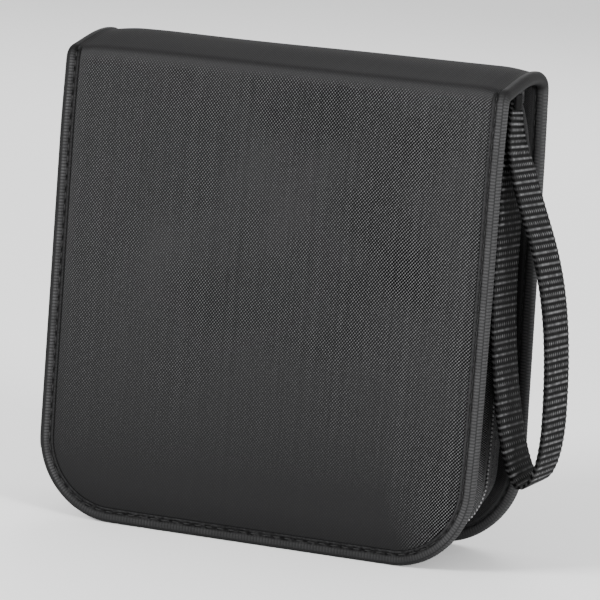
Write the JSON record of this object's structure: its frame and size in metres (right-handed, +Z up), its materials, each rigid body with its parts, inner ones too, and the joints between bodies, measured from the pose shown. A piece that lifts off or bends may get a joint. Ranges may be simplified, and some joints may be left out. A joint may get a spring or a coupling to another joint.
{
  "type": "zip-round disc storage case",
  "caption": "Black fabric case for discs, closed by a zip round three sides, with sleeve pages inside and a wrist strap of ribbed webbing.",
  "frame": {"origin": "middle of the base of the whole part's box, with the case standing on its mouth edge", "axes": "+X along the spine towards the wrist strap, -Y out of the front cover, +Z up to the spine"},
  "size_m": [0.1722, 0.0484, 0.1622],
  "materials": {
    "shell_fabric": "satin",
    "lining": "matte",
    "binding_tape": "matte",
    "gusset_fabric": "matte",
    "zip_tape": "matte",
    "webbing": "satin",
    "zip_chain": "gloss",
    "zip_metal": "satin",
    "sleeve_film": "gloss"
  },
  "bodies": {
    "spine": {"spine_panel": "shell_fabric", "spine_lining": "lining", "spine_binding_left": "binding_tape", "spine_binding_right": "binding_tape", "zip_tab_left": "gusset_fabric", "zip_tab_right": "gusset_fabric", "page_hanger": "lining", "sleeve_pages": "sleeve_film", "wrist_strap": "webbing", "strap_tab": "webbing"},
    "front": {"front_cover": "shell_fabric", "front_lining": "lining", "front_binding": "binding_tape", "front_gusset": "gusset_fabric", "front_zip_tape": "zip_tape", "front_zip_chain": "zip_chain", "front_top_stop": "zip_metal"},
    "back": {"back_cover": "shell_fabric", "back_lining": "lining", "back_binding": "binding_tape", "back_gusset": "gusset_fabric", "back_zip_tape": "zip_tape", "back_zip_chain": "zip_chain", "back_top_stop": "zip_metal", "zip_bottom_stop": "zip_metal"},
    "slider": {"zip_slider": "zip_metal", "zip_slider_inner_wing": "zip_metal"},
    "pull": {"zip_pull": "zip_metal"}
  },
  "joints": [
    {"name": "front_fold", "type": "hinge", "parent": "spine", "child": "front", "pos_m": [0, -0.0209, 0.157], "axis": [-1, 0, 0], "range_deg": [0, 90]},
    {"name": "back_fold", "type": "hinge", "parent": "spine", "child": "back", "pos_m": [0, 0.0209, 0.157], "axis": [1, 0, 0], "range_deg": [0, 90]},
    {"name": "zip_run", "type": "slide", "parent": "back", "child": "slider", "axis": [0, 0, -1], "range_m": [0, 0.09]},
    {"name": "pull_swing", "type": "hinge", "parent": "slider", "child": "pull", "pos_m": [-0.08325, 0, 0.12715], "axis": [0, 1, 0], "range_deg": [0, 180]}
  ]
}
